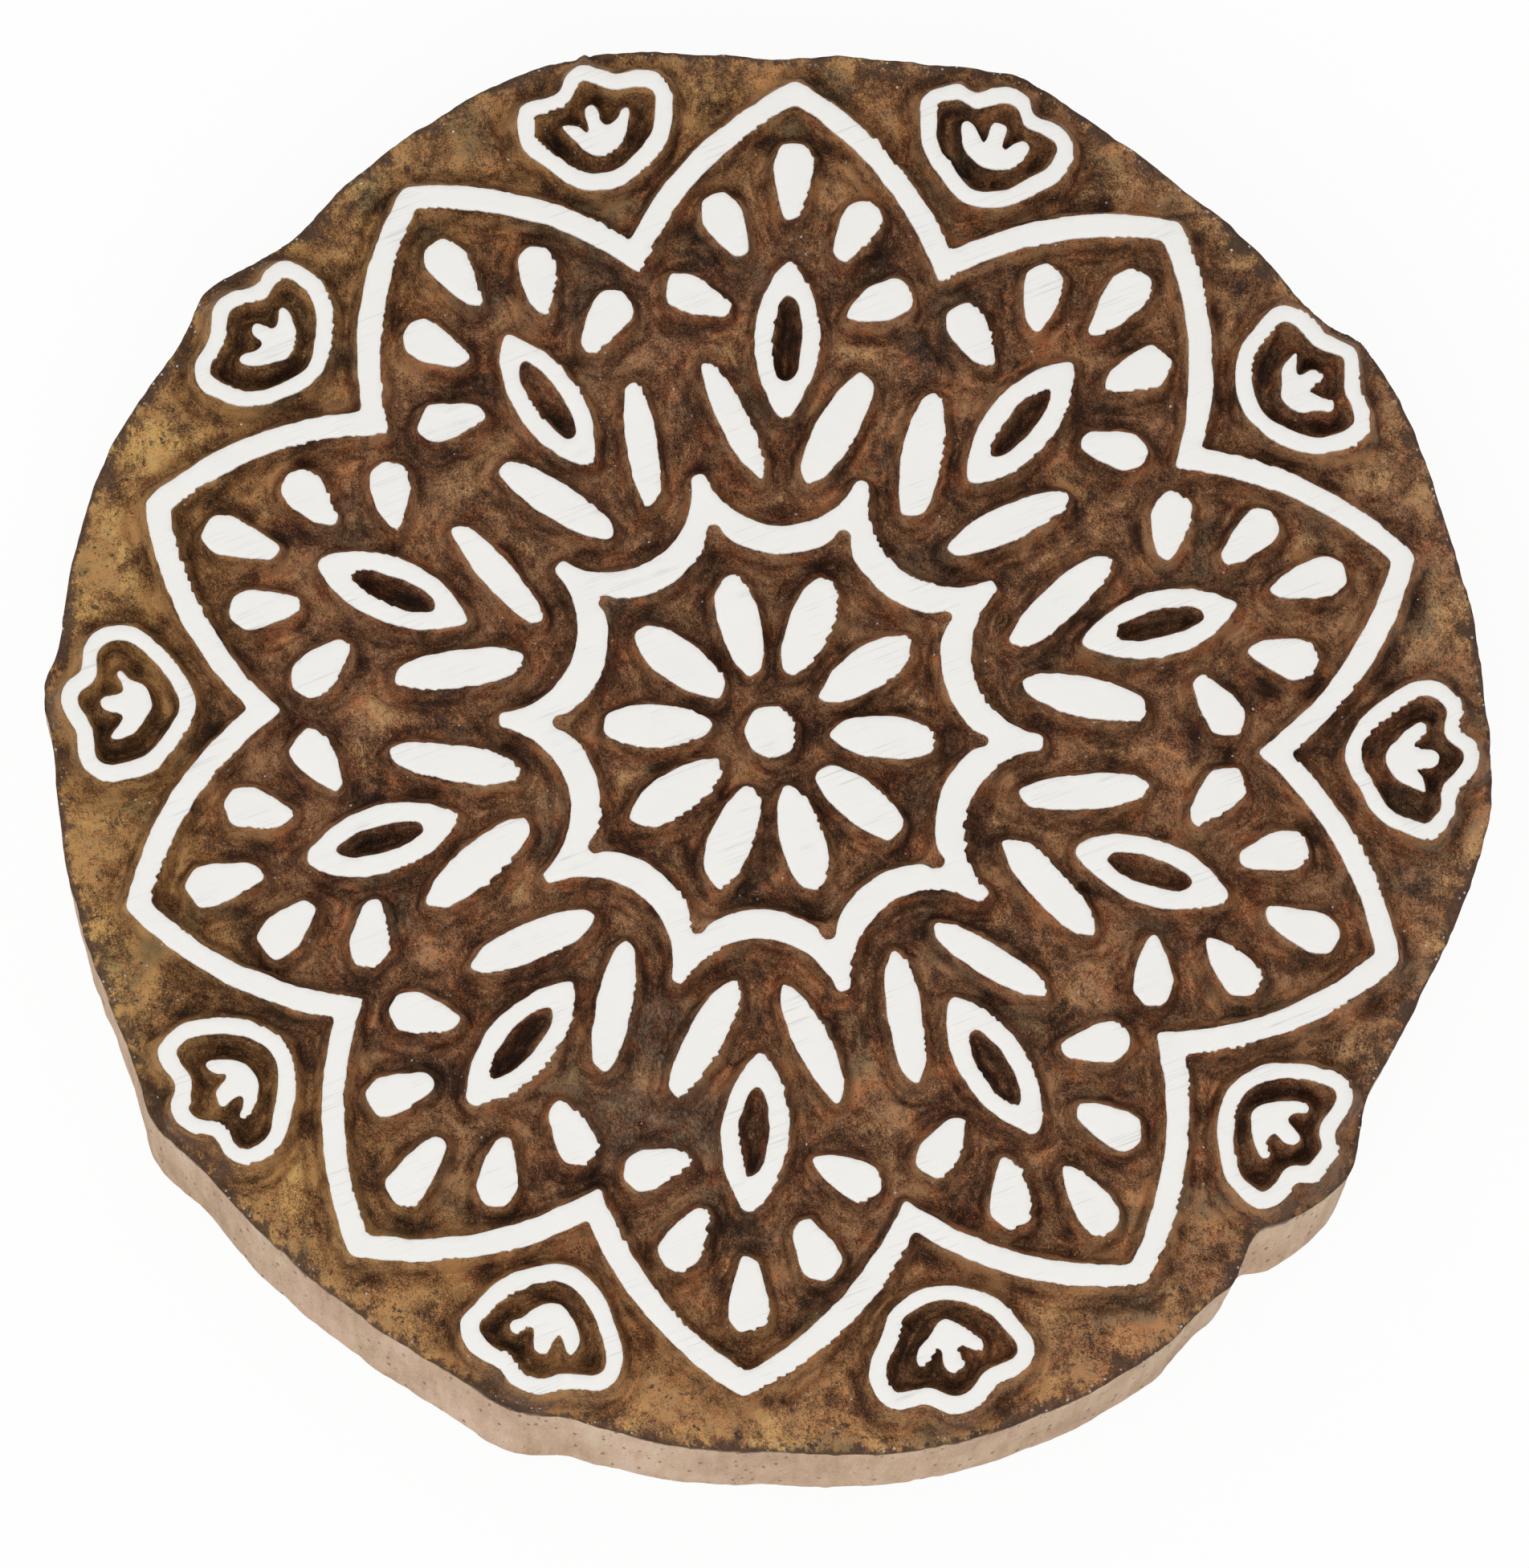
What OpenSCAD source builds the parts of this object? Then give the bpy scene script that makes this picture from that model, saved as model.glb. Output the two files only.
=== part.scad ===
// Round wooden block for printing cloth by hand.
// The face is carved in relief with a lotus of pointed petals round a scalloped ring, and a ring of
// buds stands between the petals. A white chalk coat is left on the top of every raised land.
// The rim is sawn by hand, and the back is plain and flat.
// The origin is the middle of the pattern on the back face. +Z points out of the carved face, and
// +Y runs through the tip of the first petal. Petals are numbered counter-clockwise from there.

/* [Block] */
// Height of the wood, from the back to the tops of the lands
block_h = 29.7; // [15:0.1:50]
// Depth of the ground below the tops of the lands
relief_h = 3.2; // [1.5:0.1:6]
// Thickness of the chalk coat on the lands
coat_t = 0.3; // [0.1:0.05:0.8]
// Wood between the buds and the saw line
rim_gap = 1; // [0.6:0.1:10]
// Least wood between the petal tips and the saw line before it wanders
tip_gap = 4; // [3:0.1:12]
// How far the carver's hand strays from the drawn line
hand_slip = 0.2; // [0:0.05:0.4]
// How far the carver's hand turns a land, in degrees
hand_turn = 2; // [0:0.5:4]

/* [Pattern] */
// Petals round the lotus, with as many buds between them
petal_count = 10; // [8:1:11]

/* [Centre] */
// Diameter of the dot in the middle
dot_d = 4.3; // [2:0.1:8]
// Ground between the dot and the rosette
rosette_gap = 2.6; // [1.5:0.1:8]
// Length of a rosette petal
rosette_l = 9.4; // [6:0.1:14]
// Width of a rosette petal
rosette_w = 3.5; // [2:0.1:4.5]

/* [Scalloped ring] */
// Ground between the rosette and the inner cusps of the ring
ring_gap = 4; // [3:0.1:10]
// Depth of the ring's scallops on the inside
scallop_in = 3.1; // [1.5:0.1:4]
// Width of the ring in the middle of a scallop
ring_w = 2.5; // [1.2:0.1:4]
// Width of the ring at a cusp
cusp_w = 4.5; // [3:0.1:6]
// Width of the blunt end of a cusp
cusp_end = 1.1; // [0.4:0.1:1.6]
// Width of the round hole that ends the ground in an inner cusp
knob_d = 1.4; // [0.8:0.1:1.8]

/* [Leaves] */
// Ground between the ring and the leaves
leaf_gap = 3.6; // [2:0.1:8]
// Distance of a leaf's inner end from the middle line of its petal
leaf_toe = 1.8; // [1.7:0.1:2.4]
// Length of a leaf
leaf_l = 11.4; // [8:0.1:14]
// Width of a leaf
leaf_w = 2.9; // [2:0.1:3.4]
// Angle of a leaf to the middle line of its petal
leaf_lean = 26.5; // [22:0.5:30]

/* [Eyes] */
// Least ground between the ring and the eyes
eye_gap = 9; // [7:0.1:16]
// Length of an eye
eye_l = 14.1; // [11:0.1:17]
// Width of an eye
eye_w = 5.5; // [4.5:0.1:7]
// Width of the eye's line at its sides
eye_side = 1.5; // [1:0.1:1.8]
// Width of the eye's line at its ends
eye_end = 2.9; // [2.2:0.1:4]

/* [Droplets] */
// Length of the droplet at a petal's tip
tip_drop_l = 7; // [5:0.1:9]
// Length of the other four droplets of a petal
drop_l = 6.2; // [5:0.1:8]
// Width of a droplet
drop_w = 3.5; // [2.5:0.1:4.2]
// Width of a droplet's blunt point
drop_point = 1.2; // [0.6:0.1:2]
// Ground between the eye and the tip droplet
tip_drop_gap = 2.75; // [2:0.05:5]
// Ground between the eye and the shoulder droplets
shoulder_drop_gap = 3.25; // [2.5:0.05:5]
// Ground between the eye and the side droplets
side_drop_gap = 2.25; // [1.8:0.05:4]
// Angle of the shoulder droplets to the middle line, about the middle of the eye
shoulder_turn = 29; // [26:0.5:33]
// Angle of the side droplets to the middle line, about the middle of the eye
side_turn = 67.5; // [62:0.5:72]
// Ground between the side droplets of two petals
neighbour_gap = 2.6; // [2:0.1:6]

/* [Lotus line] */
// Ground between the tip droplet and the lotus line
lotus_tip_gap = 3.4; // [2.5:0.1:8]
// Ground between the side droplets and the notch of the lotus line
lotus_notch_gap = 1.3; // [0.9:0.1:5]
// Width of the lotus line
lotus_w = 1.75; // [1.2:0.05:2.4]
// How far a petal's side bows out from straight
lotus_bow = 1.7; // [1.2:0.1:2.4]

/* [Buds] */
// Ground between the notch of the lotus line and a bud
bud_gap = 4.6; // [4:0.05:9]
// Size of a bud across
bud_w = 13.4; // [12:0.1:15]
// Size of a bud along the radius
bud_h = 10.9; // [10:0.1:13]
// Width of the bud's line
bud_line = 1.3; // [0.8:0.05:1.5]
// Size of a heart along the radius
heart_l = 4.1; // [3:0.1:4.8]
// Size of a heart across its prongs
heart_w = 5.8; // [4.6:0.1:7]

/* [Hidden] */
half_step = 180 / petal_count;
ground_z = block_h - relief_h;
// Facets round the dot, round a knob, round a leaf, along a bowed side, and round the head and the point
// of a droplet
dot_facets = 20;
knob_facets = 8;
leaf_facets = 10;
side_facets = 4;
head_facets = 5;
point_facets = 2;
// Step of the rim's points, and how far the saw rounds a corner to each side, in degrees
rim_step = 2;
saw_turn = 1;
// How pointed the leaves and the rosette petals are: 0 is an ellipse
leaf_point = 0;
rosette_point = 0.1;
// How much fuller a rosette petal is at its outer end
rosette_taper = 0.12;
// Half of a bud's outline from the top of its middle lobe to the foot of its bowl: along the radius
// and across, from -1 to 1 over the bud's size
bud_form = [
    [1, 0], [0.94, 0.22], [0.73, 0.41], [0.71, 0.64], [0.58, 0.88],
    [0.3, 1], [-0.05, 0.95], [-0.41, 0.78], [-0.78, 0.46], [-1, 0],
];
// Half of a heart's outline from its middle prong round a side prong to its foot, in the same way
heart_form = [
    [1, 0], [0.85, 0.22], [0.12, 0.3], [0.25, 0.56], [0.58, 0.88],
    [0.42, 1], [-0.1, 0.82], [-0.7, 0.5], [-1, 0],
];
// Start of each kind of land in the run of stray values
lotus_seed = 0;
notch_seed = 20;
eye_seed = 40;
leaf_seed = 60;
drop_seed = 90;
bud_seed = 160;
heart_seed = 180;
rosette_seed = 200;

// Extra width of the two leaves of each petal as they were cut, clockwise leaf first
leaf_cut = [
    [0.5, -0.6], [-0.3, 0.1], [-0.4, 0.2], [0.1, 0.4], [0.2, -0.1],
    [0, -0.2], [-0.2, -0.2], [0.2, 0], [0.3, 0.2], [0, 0.5],
];

// Saw line of the rim: bearing in degrees, and how far the saw strayed out of the circle
saw_line = [
    [0, 0.7], [4, 0.2], [10, 0], [22, 0], [33, 0.8], [36, 0.6], [41, -1.3], [58, -1], [64, -0.4],
    [72, 1], [79, -0.4], [91, -1.5], [98, -0.9], [108, 0.9], [113, 0.7], [122, 0], [130, -0.7],
    [135, -1.6], [139, -0.7], [144, 1.1], [148, -0.3], [160, 0.6], [175, -0.1], [179, 1.1],
    [183, -0.2], [205, -0.6], [210, -0.4], [215, 0.8], [220, -0.6], [235, -0.8], [247, -0.4],
    [252, 0.4], [256, -0.6], [264, -0.1], [273, -0.2], [284, 1], [296, 1], [306, 0.5], [316, -1.6],
    [325, 0.8], [331, -2], [341, -1.5], [356, 0.6], [360, 0.7],
];

// Radii worked out from the middle to the rim
dot_r = dot_d / 2;
rosette_r = dot_r + rosette_gap + rosette_l / 2;
cusp_in_r = dot_r + rosette_gap + rosette_l + ring_gap;
scallop_in_r = cusp_in_r - scallop_in;
cusp_out_r = cusp_in_r + cusp_w;
scallop_out_r = scallop_in_r + ring_w;
leaf_r = scallop_out_r + leaf_gap;

// An eye stands clear of the ring, and far enough out for its side droplets to clear the next petal's
side_reach = eye_reach(side_turn) + side_drop_gap;
side_round = side_reach + drop_l - drop_w / 2;
room_r = (drop_w / 2 + neighbour_gap / 2 + side_round * sin(side_turn - half_step)) / sin(half_step);
eye_r = max(scallop_out_r + eye_gap + eye_l / 2, room_r);
side_far = [eye_r, 0] + polar(side_reach + drop_l, side_turn);

// The lotus line runs round the droplets
lotus_tip_r = eye_r + eye_l / 2 + tip_drop_gap + tip_drop_l + lotus_tip_gap;
lotus_notch_r = norm(side_far) + lotus_notch_gap;
lotus_side = polar(lotus_notch_r, half_step) - [lotus_tip_r, 0];
lotus_lean = atan2(lotus_side[1], -lotus_side[0]);
lotus_swing = 2 * atan(2 * lotus_bow / norm(lotus_side));
lotus_tip_out_r = lotus_tip_r + lotus_w / sin(lotus_lean + lotus_swing);
lotus_notch_out_r = lotus_notch_r + lotus_w / sin(lotus_lean + half_step - lotus_swing);

// The buds stand in the notches, and the rim clears the buds and the petal tips
bud_r = lotus_notch_out_r + bud_gap + bud_h / 2;
rim_r = max(bud_r + bud_h / 2 + rim_gap, lotus_tip_out_r + tip_gap);

FAMILIES = ["leaf_pair_coat", "eye_coat", "droplet_fan_coat", "bud_outline_coat", "bud_heart_coat"];

function numbered(name, i) = str(name, i < 10 ? "_0" : "_", i);
function polar(r, a) = [r * cos(a), r * sin(a)];
function petal_bearing(i) = 90 + (i - 1) * 2 * half_step;
function bud_bearing(i) = petal_bearing(i) + half_step;

// A value from -1 to 1 that differs from land to land, for the carver's hand
function stray(n) = sin(137.5 * n * n + 53 * n);
function slip(n) = hand_slip * [stray(n), stray(n + 0.5)];
function turn_of(n) = hand_turn * stray(n + 0.25);

function moved(points, at, turn) = [
    for (p = points) at + [p[0] * cos(turn) - p[1] * sin(turn), p[0] * sin(turn) + p[1] * cos(turn)]
];

// Points from p up to q on an arc that bows to the left by bow, or to the right if it is negative
function arc(p, q, bow) =
    let (
        chord = norm(q - p),
        r = (chord * chord / 4 + bow * bow) / (2 * abs(bow)),
        along = (q - p) / chord,
        left = [-along[1], along[0]],
        side = sign(bow),
        centre = (p + q) / 2 + left * (bow - side * r),
        half = 2 * atan(2 * abs(bow) / chord)
    )
    [
        for (k = [0 : side_facets - 1])
            let (a = half * (2 * k / side_facets - 1))
            centre + left * side * r * cos(a) + along * r * sin(a)
    ];

// Points on an arc about a centre, both ends included
function turned_arc(centre, r, from, to, facets) = [
    for (k = [0 : facets]) centre + polar(r, from + (to - from) * k / facets)
];

// A leaf lies along X about its middle, and a droplet along X from its point to its round end
function leaf(l, w, point, taper = 0) = [
    for (k = [0 : leaf_facets - 1])
        let (t = 360 * k / leaf_facets)
        [l / 2 * cos(t), w / 2 * (1 + taper * cos(t)) * sin(t) * pow(abs(sin(t)), point)]
];
function droplet(l, w) =
    let (
        head = w / 2,
        point = drop_point / 2,
        taper = asin((head - point) / (l - head - point))
    )
    concat(
        turned_arc([l - head, 0], head, -90 - taper, 90 + taper, head_facets),
        turned_arc([point, 0], point, 90 + taper, 270 - taper, point_facets)
    );
function lens(l, w) = concat(
    arc([l / 2, 0], [-l / 2, 0], -w / 2),
    arc([-l / 2, 0], [l / 2, 0], -w / 2)
);

// Distance from the middle of an eye to its outline, at an angle to its long axis
function eye_reach(a) =
    let (
        r = (eye_l * eye_l + eye_w * eye_w) / (4 * eye_w),
        off = r - eye_w / 2
    )
    sqrt(r * r - pow(off * cos(a), 2)) - off * sin(a);

// Closed line of the lotus, with its tips and notches at these radii
function lotus(tip_r, notch_r) = [
    for (i = [1 : petal_count])
        let (
            tip = polar(tip_r + hand_slip * stray(lotus_seed + i), petal_bearing(i)),
            notch = polar(notch_r + hand_slip * stray(notch_seed + i), bud_bearing(i)),
            next = polar(tip_r + hand_slip * stray(lotus_seed + i % petal_count + 1), petal_bearing(i + 1))
        )
        each concat(arc(tip, notch, -lotus_bow), arc(notch, next, -lotus_bow))
];

// Closed line of the ring: scallops that bow inwards between cusps with ends of a given width
function scallops(cusp_r, mid_r, end) = [
    for (i = [1 : petal_count])
        let (
            half = half_step - asin(end / 2 / cusp_r),
            from = polar(cusp_r, petal_bearing(i) - half),
            to = polar(cusp_r, petal_bearing(i) + half)
        )
        each concat(arc(from, to, cusp_r * cos(half) - mid_r), end > 0 ? [to] : [])
];

// How far the saw strayed at a bearing, with its corners rounded
function saw(a) =
    let (
        before = lookup((a - saw_turn + 360) % 360, saw_line),
        after = lookup((a + saw_turn) % 360, saw_line)
    )
    (before + lookup(a, saw_line) + after) / 3;

// A closed outline from half of one, with the points that the carver's hand has moved
function both_sides(form, l, w, seed) = [
    for (k = [0 : 2 * len(form) - 3])
        let (p = k < len(form) ? form[k] : form[2 * len(form) - 2 - k])
        [p[0] * l / 2, (k < len(form) ? p[1] : -p[1]) * w / 2] + slip(seed + k)
];

// An outline drawn in all round
function drawn_in(points, inset) = [
    for (k = [0 : len(points) - 1])
        let (
            n = len(points),
            along = points[(k + 1) % n] - points[(k + n - 1) % n]
        )
        points[k] + inset * [-along[1], along[0]] / norm(along)
];

module eye_shape(i) {
    at = polar(eye_r, petal_bearing(i)) + slip(eye_seed + i);
    turn = petal_bearing(i) + turn_of(eye_seed + i);
    difference() {
        polygon(moved(lens(eye_l, eye_w), at, turn));
        polygon(moved(leaf(eye_l - 2 * eye_end, eye_w - 2 * eye_side, 0), at, turn));
    }
}

module leaf_pair_shape(i) {
    for (side = [-1, 1]) {
        w = leaf_w + leaf_cut[(i - 1) % len(leaf_cut)][side < 0 ? 0 : 1];
        toe = [leaf_r, side * leaf_toe];
        middle = toe + polar(leaf_l / 2, side * leaf_lean);
        at = moved([middle], [0, 0], petal_bearing(i))[0] + slip(leaf_seed + 2 * i + side);
        turn = petal_bearing(i) + side * leaf_lean + turn_of(leaf_seed + 2 * i + side);
        polygon(moved(leaf(leaf_l, w, leaf_point), at, turn));
    }
}

module droplet_fan_shape(i) {
    fan = [
        [-side_turn, side_drop_gap, drop_l], [-shoulder_turn, shoulder_drop_gap, drop_l],
        [0, tip_drop_gap, tip_drop_l],
        [shoulder_turn, shoulder_drop_gap, drop_l], [side_turn, side_drop_gap, drop_l],
    ];
    for (k = [0 : len(fan) - 1]) {
        a = fan[k][0];
        start = [eye_r, 0] + polar(eye_reach(abs(a)) + fan[k][1], a);
        at = moved([start], [0, 0], petal_bearing(i))[0] + slip(drop_seed + 5 * i + k);
        turn = petal_bearing(i) + a + turn_of(drop_seed + 5 * i + k);
        polygon(moved(droplet(fan[k][2], drop_w), at, turn));
    }
}

module bud_outline_shape(i) {
    at = polar(bud_r, bud_bearing(i));
    turn = bud_bearing(i) + turn_of(bud_seed + i);
    outline = both_sides(bud_form, bud_h, bud_w, bud_seed + len(bud_form) * i);
    difference() {
        polygon(moved(outline, at, turn));
        polygon(moved(drawn_in(outline, bud_line), at, turn));
    }
}

module bud_heart_shape(i) {
    at = polar(bud_r, bud_bearing(i)) + slip(heart_seed + i);
    turn = bud_bearing(i) + turn_of(heart_seed + i);
    outline = both_sides(heart_form, heart_l, heart_w, heart_seed + len(heart_form) * i);
    polygon(moved(outline, at, turn));
}

module rosette_shape() {
    for (i = [1 : petal_count]) {
        at = polar(rosette_r, bud_bearing(i)) + slip(rosette_seed + i) / 2;
        turn = bud_bearing(i) + turn_of(rosette_seed + i);
        polygon(moved(leaf(rosette_l, rosette_w, rosette_point, rosette_taper), at, turn));
    }
}

module dot_shape() {
    circle(r = dot_r, $fn = dot_facets);
}

module ring_shape() {
    difference() {
        polygon(scallops(cusp_out_r, scallop_out_r, cusp_end));
        polygon(scallops(cusp_in_r, scallop_in_r, 0));
        for (i = [1 : petal_count])
            translate(polar(cusp_in_r - 0.4 * knob_d, bud_bearing(i))) circle(d = knob_d, $fn = knob_facets);
    }
}

module lotus_shape() {
    difference() {
        polygon(lotus(lotus_tip_out_r, lotus_notch_out_r));
        polygon(lotus(lotus_tip_r, lotus_notch_r));
    }
}

module lands() {
    dot_shape();
    rosette_shape();
    ring_shape();
    lotus_shape();
    for (i = [1 : petal_count]) {
        leaf_pair_shape(i);
        eye_shape(i);
        droplet_fan_shape(i);
        bud_outline_shape(i);
        bud_heart_shape(i);
    }
}

module rim_shape() {
    polygon([for (a = [0 : rim_step : 359]) polar(rim_r + saw(a), a)]);
}

// The wood is one piece: the ground with its rim, and the lands standing on it
module block() {
    color("saddlebrown") {
        linear_extrude(ground_z) rim_shape();
        translate([0, 0, ground_z]) linear_extrude(relief_h) lands();
    }
}

// A patch of the chalk coat, on the tops of the lands of one shape
module coat() {
    color("whitesmoke") translate([0, 0, block_h]) linear_extrude(coat_t) children();
}

module centre_dot_coat() {
    coat() dot_shape();
}

module rosette_coat() {
    coat() rosette_shape();
}

module scalloped_ring_coat() {
    coat() ring_shape();
}

module lotus_line_coat() {
    coat() lotus_shape();
}

module leaf_pair_coat(i) {
    coat() leaf_pair_shape(i);
}

module eye_coat(i) {
    coat() eye_shape(i);
}

module droplet_fan_coat(i) {
    coat() droplet_fan_shape(i);
}

module bud_outline_coat(i) {
    coat() bud_outline_shape(i);
}

module bud_heart_coat(i) {
    coat() bud_heart_shape(i);
}

block();
centre_dot_coat();
rosette_coat();
scalloped_ring_coat();
lotus_line_coat();
for (i = [1 : petal_count]) {
    leaf_pair_coat(i);
    eye_coat(i);
    droplet_fan_coat(i);
    bud_outline_coat(i);
    bud_heart_coat(i);
}
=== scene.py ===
"""Looks of a round wooden block for printing cloth.

The wood and each patch of the chalk coat are rebuilt from the outlines of the CAD nodes. The outlines
get the small slips of the carver's knife, and the ground between them is scooped out by a gouge.
"""

import math

import bpy
import numpy as np
from mathutils import Matrix, Vector
from mathutils.geometry import delaunay_2d_cdt
from mathutils.kdtree import KDTree


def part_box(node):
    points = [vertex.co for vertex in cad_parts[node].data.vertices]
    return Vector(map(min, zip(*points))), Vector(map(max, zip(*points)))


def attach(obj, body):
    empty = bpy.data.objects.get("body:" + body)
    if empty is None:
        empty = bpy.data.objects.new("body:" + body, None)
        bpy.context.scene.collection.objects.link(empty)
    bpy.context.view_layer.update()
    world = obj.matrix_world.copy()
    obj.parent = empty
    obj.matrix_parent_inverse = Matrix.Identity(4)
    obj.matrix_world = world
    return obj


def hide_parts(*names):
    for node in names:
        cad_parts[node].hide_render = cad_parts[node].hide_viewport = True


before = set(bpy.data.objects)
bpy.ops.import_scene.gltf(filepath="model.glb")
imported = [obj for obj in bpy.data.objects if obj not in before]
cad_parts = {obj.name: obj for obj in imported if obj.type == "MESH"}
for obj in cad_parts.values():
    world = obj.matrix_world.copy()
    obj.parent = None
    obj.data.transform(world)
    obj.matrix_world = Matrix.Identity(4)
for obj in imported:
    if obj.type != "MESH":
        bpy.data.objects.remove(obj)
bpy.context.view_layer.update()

# Sizes in millimetres
MM = 0.001
GRID = 0.2
LINE_STEP = 0.09
COAT_ROUND = 0.05
COAT_SPREAD = 0.02
COAT_GRID = 0.5
COAT_CLEAR = 0.22
WALL_SLOPE = 2.7
WALL_FILLET = 0.25
RELIEF = 3.2
GROOVE = 2.8
RISE = 0.9
RIM_FALL = 1.0
ARRIS = 0.25
BLOCK_H = 30
REACH = 61.8

# Shares of the bake map that the face, the side's two rows and the back take
FACE_SHARE = 0.66
ROW_SHARE = 0.155
BACK_SHARE = 0.32

# How far the side leans out down to the back, by bearing in degrees
LEAN = (
    (0, 0.2), (180, 0.2), (205, 0.2), (214, 0.7), (219, 0.5), (226, 0.8), (242, 0.7), (251, 1.0),
    (257, 0.5), (270, 0.3), (280, 0.1), (296, 0.3), (306, 0.6), (312, 0.1), (319, 1.2), (324, 0.8),
    (332, 0.3), (360, 0.2),
)

# Kinds of land: how often the knife rounds their corners, the least turn of a real corner in degrees,
# and how far the curves are cut as short straight strokes
KINDS = {
    "eye": (80, 105, 0.4), "lotus": (32, 45, 0), "scalloped": (24, 55, 0),
    "bud_outline": (26, 180, 0), "bud_heart": (5, 180, 0),
}
OTHER_KINDS = (24, 180, 0.65)
STROKE = 1.9

# A distance that counts as far from any land
FAR = 9.0

# Bearings in degrees where the ground near the rim is most golden, and palest
GOLD_BEARING = 180
PALE_BEARING = 235

# Length of a tooth torn along an edge
TOOTH = 1.1

# Where old dye has crusted on the ground, and how far it reaches
CRUSTS = ((-11.0, -32.9), (-8.2, -25.6), (-4.6, -33.0))
CRUST_REACH = 5.0

# Bearing of the first inner cusp of the scalloped ring, and the step to the next, in degrees
FIRST_CUSP = 108
CUSP_STEP = 36

# A break in the sawn rim: bearings in degrees, how far the rim stands out there, and its half width
RIM_BREAKS = ((312.0, 0.6), (316.5, -0.7))
BREAK_WIDTH = 1.6

# Camera, in millimetres and degrees
TARGET = (-0.363, -4.487, 30.0)
TOWARD = (-0.02, -0.172, 0.9849)
ROLL = 2.483
DISTANCE = 789.0
LENS = 217.6

NOISE_TABLE = np.random.default_rng(7).uniform(-1, 1, (256, 256))


# Outlines

def noise(x, y, size, seed):
    """Smooth noise from -1 to 1 with bumps of about this size."""
    u = x / size + 17.31 * seed
    v = y / size + 31.73 * seed
    i = np.floor(u).astype(int)
    j = np.floor(v).astype(int)
    a = u - i
    b = v - j
    a = a * a * (3 - 2 * a)
    b = b * b * (3 - 2 * b)
    low = NOISE_TABLE[i % 256, j % 256] * (1 - a) + NOISE_TABLE[(i + 1) % 256, j % 256] * a
    high = NOISE_TABLE[i % 256, (j + 1) % 256] * (1 - a) + NOISE_TABLE[(i + 1) % 256, (j + 1) % 256] * a
    return low * (1 - b) + high * b


def ramp(low, high, value):
    """Smooth step from 0 at low to 1 at high."""
    t = np.clip((value - low) / (high - low), 0, 1)
    return t * t * (3 - 2 * t)


def flat_loops(node, level):
    """Outlines of a CAD node's flat faces at a level, as arrays of points in millimetres."""
    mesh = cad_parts[node].data
    spots = {}
    same = [spots.setdefault(tuple(round(c / MM, 3) for c in v.co), len(spots)) for v in mesh.vertices]
    points = np.array(list(spots))
    edges = {}
    for face in mesh.polygons:
        ids = [same[v] for v in face.vertices]
        if all(abs(points[i, 2] - level) < 0.002 for i in ids):
            edges.update(dict.fromkeys(zip(ids, ids[1:] + ids[:1])))
    after = {a: b for a, b in edges if (b, a) not in edges}
    loops = []
    while after:
        start, here = after.popitem()
        ids = [start]
        while here != start:
            ids.append(here)
            here = after.pop(here)
        loops.append(points[ids, :2])
    return loops


def rounded(loop, corner=180):
    """A closed curve through the points of an outline, which stays sharp at its corners."""
    chord = np.roll(loop, -1, 0) - loop
    length = np.linalg.norm(chord, axis=1)[:, None]
    chord = chord / length
    before = np.roll(chord, 1, 0)
    sharp = ((chord * before).sum(1) < math.cos(math.radians(corner)))[:, None]
    tangent = np.roll(loop, -1, 0) - np.roll(loop, 1, 0)
    tangent /= np.linalg.norm(tangent, axis=1)[:, None]
    leave = tangent
    arrive = np.roll(tangent, -1, 0)
    sharp_next = np.roll(sharp, -1, 0)
    mirrored = 2 * (chord * arrive).sum(1)[:, None] * chord - arrive
    leave = np.where(sharp, np.where(sharp_next, chord, mirrored), leave)
    mirrored = 2 * (chord * leave).sum(1)[:, None] * chord - leave
    arrive = np.where(sharp_next, mirrored, arrive)
    rows = []
    for t in np.arange(0, 1, 0.125):
        bend = t * (1 - t) * ((1 - t) * leave - t * arrive) * length
        rows.append(loop + t * t * (3 - 2 * t) * chord * length + bend)
    return np.stack(rows, axis=1).reshape(-1, 2)


def resampled(loop, step):
    """The same closed line with points at even steps."""
    closed = np.vstack([loop, loop[:1]])
    run = np.r_[0, np.cumsum(np.linalg.norm(np.diff(closed, axis=0), axis=1))]
    n = int(round(run[-1] / step))
    at = np.arange(n) * run[-1] / n
    return np.c_[np.interp(at, run, closed[:, 0]), np.interp(at, run, closed[:, 1])]


def eased(loop, passes):
    """The closed line with its corners rounded a little."""
    for _ in range(passes):
        loop = (np.roll(loop, 1, 0) + 2 * loop + np.roll(loop, -1, 0)) / 4
    return loop


def outward(loop):
    """Unit normals to the right of a closed line, which point away from what it encloses."""
    along = np.roll(loop, -1, 0) - np.roll(loop, 1, 0)
    along /= np.linalg.norm(along, axis=1)[:, None] + 1e-12
    return np.c_[along[:, 1], -along[:, 0]]


def in_strokes(line):
    """The closed line as straight strokes of uneven length, with as many points as before."""
    x, y = line.T
    phase = np.cumsum(1 + 0.6 * noise(x, y, 2.9, 9))
    strokes = max(int(round(len(line) * LINE_STEP / STROKE)), 5)
    phase = strokes * (phase - phase[0]) / (phase[-1] - phase[0] + 1)
    starts = np.searchsorted(phase, np.arange(strokes))
    k = np.minimum(phase.astype(int), strokes - 1)
    t = (phase - k)[:, None]
    return line[starts[k]] * (1 - t) + line[starts[(k + 1) % strokes]] * t


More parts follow.
